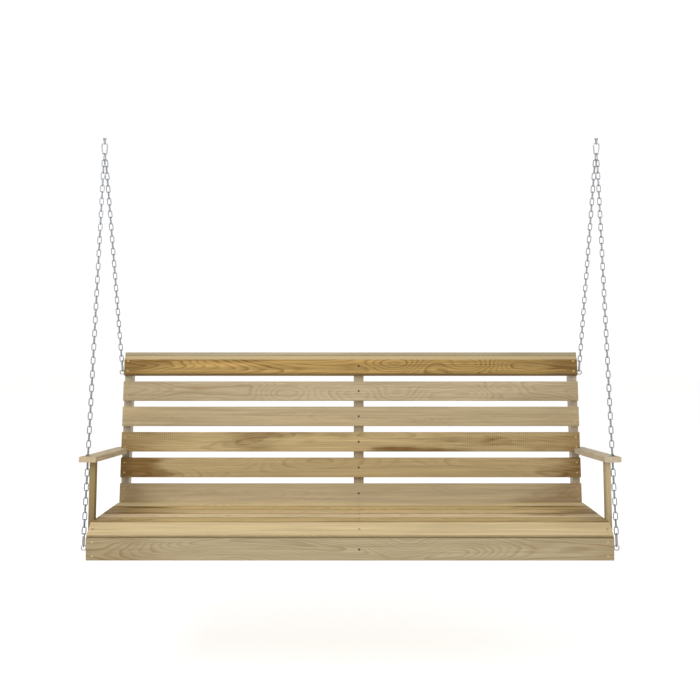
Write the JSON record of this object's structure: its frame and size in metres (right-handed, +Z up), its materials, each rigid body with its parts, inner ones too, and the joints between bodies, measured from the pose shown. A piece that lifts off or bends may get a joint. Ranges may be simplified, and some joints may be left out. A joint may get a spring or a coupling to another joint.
{
  "type": "porch swing seat",
  "caption": "Wide slatted wooden porch swing with a reclined slatted back, sloping armrests and an apron, hung on chains with spring snap hooks from two ceiling eyes.",
  "frame": {"origin": "middle of the swing axis, between the two ceiling eyes", "axes": "+X along the bench to its right end as seen from the front, -Y is the front, +Z up"},
  "size_m": [1.755, 0.6283, 1.365],
  "materials": {
    "seat_pine": "oiled pine, satin",
    "back_pine": "oiled pine, satin",
    "brown_pine": "oiled pine, satin",
    "frame_pine": "oiled pine, satin",
    "chain_zinc": "zinc plated",
    "hook_steel": "zinc plated",
    "eye_steel": "zinc plated",
    "screw_zinc": "yellow zinc",
    "bolt_steel": "zinc plated"
  },
  "bodies": {
    "ceiling_eyes": {"left_ceiling_eye": "eye_steel", "right_ceiling_eye": "eye_steel"},
    "swing": {"apron_board": "frame_pine", "front_board": "seat_pine", "seat_board_1": "seat_pine", "seat_board_2": "seat_pine", "seat_board_3": "seat_pine", "seat_board_4": "seat_pine", "seat_board_5": "seat_pine", "back_board_1": "back_pine", "back_board_2": "back_pine", "back_board_3": "back_pine", "back_board_4": "back_pine", "back_board_5": "back_pine", "crest_board": "brown_pine", "top_cap": "back_pine", "left_seat_rail": "frame_pine", "middle_seat_rail": "frame_pine", "right_seat_rail": "frame_pine", "left_back_post": "frame_pine", "middle_back_post": "frame_pine", "right_back_post": "frame_pine", "left_arm_post": "frame_pine", "right_arm_post": "frame_pine", "left_armrest": "frame_pine", "right_armrest": "frame_pine", "left_front_eye_bolt": "eye_steel", "right_front_eye_bolt": "eye_steel", "left_rear_eye_bolt": "eye_steel", "right_rear_eye_bolt": "eye_steel", "eye_bolt_washers": "eye_steel", "eye_bolt_nuts": "eye_steel", "apron_screws": "screw_zinc", "seat_screws": "screw_zinc", "back_screws": "screw_zinc", "cap_screws": "screw_zinc", "armrest_screws": "screw_zinc", "frame_bolts": "bolt_steel", "frame_washers": "bolt_steel", "frame_nuts": "bolt_steel", "left_front_chain": "chain_zinc", "right_front_chain": "chain_zinc", "left_rear_chain": "chain_zinc", "right_rear_chain": "chain_zinc", "left_ceiling_hook": "hook_steel", "right_ceiling_hook": "hook_steel", "left_front_hook": "hook_steel", "right_front_hook": "hook_steel", "left_rear_hook": "hook_steel", "right_rear_hook": "hook_steel", "gate_rivets": "hook_steel"},
    "left_ceiling_gate": {"left_ceiling_gate": "hook_steel"},
    "right_ceiling_gate": {"right_ceiling_gate": "hook_steel"},
    "left_front_gate": {"left_front_gate": "hook_steel"},
    "right_front_gate": {"right_front_gate": "hook_steel"},
    "left_rear_gate": {"left_rear_gate": "hook_steel"},
    "right_rear_gate": {"right_rear_gate": "hook_steel"}
  },
  "joints": [
    {"name": "seat_swing", "type": "hinge", "parent": "ceiling_eyes", "child": "swing", "pos_m": [0, 0, 0], "axis": [1, 0, 0], "range_deg": [-25, 25]},
    {"name": "left_ceiling_gate_hinge", "type": "hinge", "parent": "swing", "child": "left_ceiling_gate", "pos_m": [-0.85997, 0, -0.03748], "axis": [0, 1, 0], "range_deg": [0, 20], "stiffness_Nm_per_rad": 0.06, "springref_deg": -5.73},
    {"name": "right_ceiling_gate_hinge", "type": "hinge", "parent": "swing", "child": "right_ceiling_gate", "pos_m": [0.85997, 0, -0.03748], "axis": [0, -1, 0], "range_deg": [0, 20], "stiffness_Nm_per_rad": 0.06, "springref_deg": -5.73},
    {"name": "left_front_gate_hinge", "type": "hinge", "parent": "swing", "child": "left_front_gate", "pos_m": [-0.85451, -0.28197, -1.29267], "axis": [1, 0, 0.0003], "range_deg": [0, 20], "stiffness_Nm_per_rad": 0.06, "springref_deg": -5.73},
    {"name": "right_front_gate_hinge", "type": "hinge", "parent": "swing", "child": "right_front_gate", "pos_m": [0.85451, -0.28197, -1.29267], "axis": [1, 0, -0.0003], "range_deg": [0, 20], "stiffness_Nm_per_rad": 0.06, "springref_deg": -5.73},
    {"name": "left_rear_gate_hinge", "type": "hinge", "parent": "swing", "child": "left_rear_gate", "pos_m": [-0.8428, 0.23128, -0.78453], "axis": [-1, 0, -0.0099], "range_deg": [0, 20], "stiffness_Nm_per_rad": 0.06, "springref_deg": -5.73},
    {"name": "right_rear_gate_hinge", "type": "hinge", "parent": "swing", "child": "right_rear_gate", "pos_m": [0.8428, 0.23128, -0.78453], "axis": [-1, 0, 0.0099], "range_deg": [0, 20], "stiffness_Nm_per_rad": 0.06, "springref_deg": -5.73}
  ]
}
